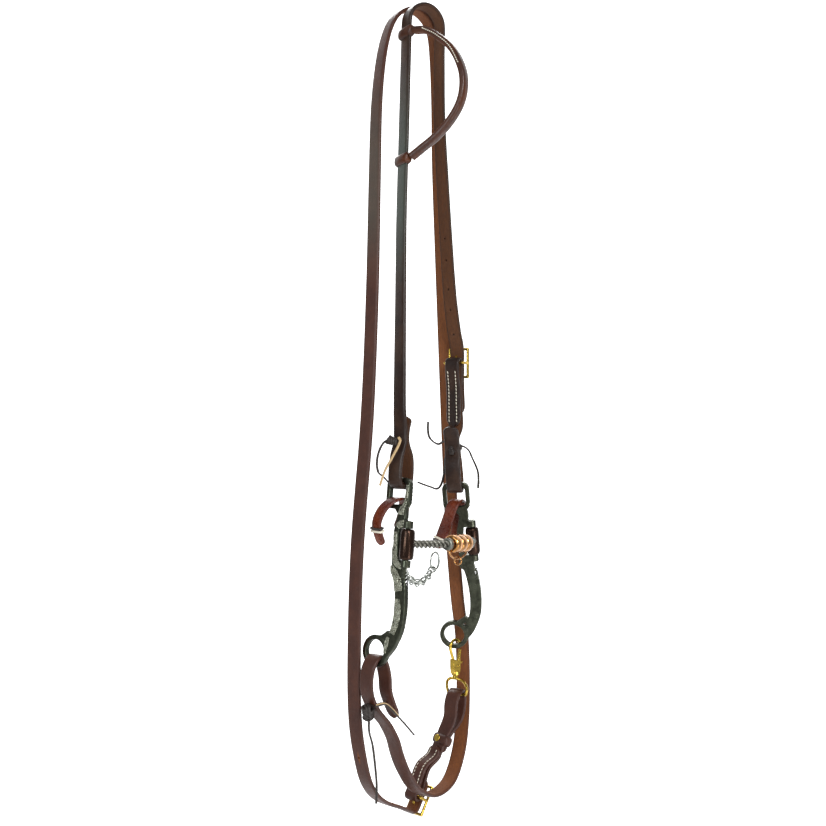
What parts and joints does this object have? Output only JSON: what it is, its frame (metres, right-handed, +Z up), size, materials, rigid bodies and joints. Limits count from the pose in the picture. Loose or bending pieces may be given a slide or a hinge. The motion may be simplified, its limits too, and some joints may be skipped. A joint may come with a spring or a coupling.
{
  "type": "one-ear western bridle",
  "caption": "Hanging one-ear headstall in dark leather with a loose-jaw curb bit on long shanks, copper rollers, a curb strap with chain and a looped rein with a snap end.",
  "frame": {"origin": "level with the underside of the crown strap's arch and about 3 mm beside its top, where it rests on a round bracket", "axes": "+Z up, -Y towards the ear piece and the front of the shanks, +Y towards the rein rings, +X from the near cheek to the far cheek"},
  "size_m": [0.1918, 0.1042, 0.8211],
  "materials": {
    "dark_leather": "dark oiled harness leather",
    "red_leather": "red-brown curb leather",
    "lace": "dark lace leather",
    "brass": "polished solid brass",
    "iron": "oil-blacked iron",
    "silver": "engraved silver overlay",
    "copper": "copper",
    "steel": "stainless chain and spring"
  },
  "bodies": {
    "headstall": {"crown_strap": "dark_leather", "far_cheek_strap": "dark_leather", "cheek_buckle_frame": "brass", "near_bit_lace": "lace", "far_bit_lace": "lace", "near_lace_ends": "lace", "far_lace_ends": "lace", "rein": "dark_leather", "rein_billet": "dark_leather", "rein_ring_loop": "dark_leather", "rein_lace": "lace", "rein_lace_ends": "lace", "snap_strap": "dark_leather", "snap_keeper": "dark_leather", "keeper_screw": "brass", "rein_buckle_frame": "brass"},
    "ear": {"ear_piece": "dark_leather"},
    "cheek_tongue": {"cheek_buckle_tongue": "brass"},
    "rein_tongue": {"rein_buckle_tongue": "brass"},
    "mouth": {"near_sleeve": "iron", "far_sleeve": "iron", "near_mouth_bar": "iron", "far_mouth_bar": "iron", "mouth_collars": "iron", "mouth_axle": "iron"},
    "near_cheekpiece": {"near_shank": "iron", "near_overlays": "silver", "near_hinge_pin": "iron"},
    "far_cheekpiece": {"far_shank": "iron", "far_overlays": "silver", "far_hinge_pin": "iron"},
    "roller_a": {"roller_1": "copper"},
    "roller_b": {"roller_2": "copper"},
    "roller_c": {"roller_3": "copper"},
    "bail": {"copper_bail": "copper"},
    "key": {"copper_key": "copper"},
    "curb": {"near_curb_strap": "red_leather", "far_curb_strap": "red_leather", "near_curb_tie": "lace", "far_curb_tie": "lace", "near_curb_ring": "steel", "far_curb_ring": "steel", "curb_chain": "steel"},
    "snap": {"snap_body": "brass", "snap_trigger_pin": "brass", "snap_spring": "steel"},
    "trigger": {"snap_trigger": "brass"},
    "swivel": {"snap_swivel": "brass"}
  },
  "joints": [
    {"name": "ear_slide", "type": "slide", "parent": "headstall", "child": "ear", "axis": [0.1142, 0.0377, 0.9927], "range_m": [-0.03, 0]},
    {"name": "cheek_tongue_lift", "type": "hinge", "parent": "headstall", "child": "cheek_tongue", "pos_m": [0.0495, -0.004, -0.353], "axis": [0, 1, 0], "range_deg": [0, 4]},
    {"name": "rein_tongue_lift", "type": "hinge", "parent": "headstall", "child": "rein_tongue", "pos_m": [0.018, 0.0264, -0.797], "axis": [-0.2289, -0.9735, 0], "range_deg": [0, 8]},
    {"name": "bit_tilt", "type": "hinge", "parent": "headstall", "child": "mouth", "pos_m": [-0.00239, -0.00397, -0.47409], "axis": [0.9959, -0.0063, -0.0905], "range_deg": [-5, 3.5], "deforming": ["rein_ring_loop", "snap_strap", "rein_lace", "rein_lace_ends"]},
    {"name": "near_swivel", "type": "hinge", "parent": "mouth", "child": "near_cheekpiece", "pos_m": [-0.067, -0.017, -0.529], "axis": [0.1392, 0, 0.9903], "range_deg": [-3, 3]},
    {"name": "far_swivel", "type": "hinge", "parent": "mouth", "child": "far_cheekpiece", "pos_m": [0.067, -0.017, -0.538], "axis": [-0.1736, 0, 0.9848], "range_deg": [-3, 3]},
    {"name": "roller_spin_a", "type": "hinge", "parent": "mouth", "child": "roller_a", "pos_m": [-0.01107, -0.036, -0.53276], "axis": [0.9978, 0, -0.067], "continuous": true},
    {"name": "roller_spin_b", "type": "hinge", "parent": "mouth", "child": "roller_b", "pos_m": [0, -0.036, -0.5335], "axis": [0.9978, 0, -0.067], "continuous": true},
    {"name": "roller_spin_c", "type": "hinge", "parent": "mouth", "child": "roller_c", "pos_m": [0.01107, -0.036, -0.53424], "axis": [0.9978, 0, -0.067], "continuous": true},
    {"name": "bail_swing", "type": "hinge", "parent": "mouth", "child": "bail", "pos_m": [0, -0.036, -0.5335], "axis": [0.9978, 0, -0.067], "range_deg": [-35, 35]},
    {"name": "key_swing", "type": "hinge", "parent": "bail", "child": "key", "pos_m": [-0.00101, -0.036, -0.54847], "axis": [0, 1, 0], "range_deg": [-30, 30]},
    {"name": "curb_swing", "type": "hinge", "parent": "headstall", "child": "curb", "pos_m": [-0.00239, -0.00397, -0.47409], "axis": [0.9959, -0.0063, -0.0905], "range_deg": [-3, 3]},
    {"name": "snap_swing", "type": "hinge", "parent": "far_cheekpiece", "child": "snap", "pos_m": [0.07747, 0.00931, -0.65252], "axis": [0.2588, 0.9659, 0], "range_deg": [-8, 8]},
    {"name": "trigger_press", "type": "hinge", "parent": "snap", "child": "trigger", "pos_m": [0.07902, 0.0089, -0.67372], "axis": [0.2588, 0.9659, 0], "range_deg": [0, 12], "stiffness_Nm_per_rad": 0.002, "springref_deg": -20.05},
    {"name": "snap_turn", "type": "hinge", "parent": "snap", "child": "swivel", "pos_m": [0.07747, 0.00931, -0.68172], "axis": [0, 0, 1], "range_deg": [-12, 12]}
  ]
}
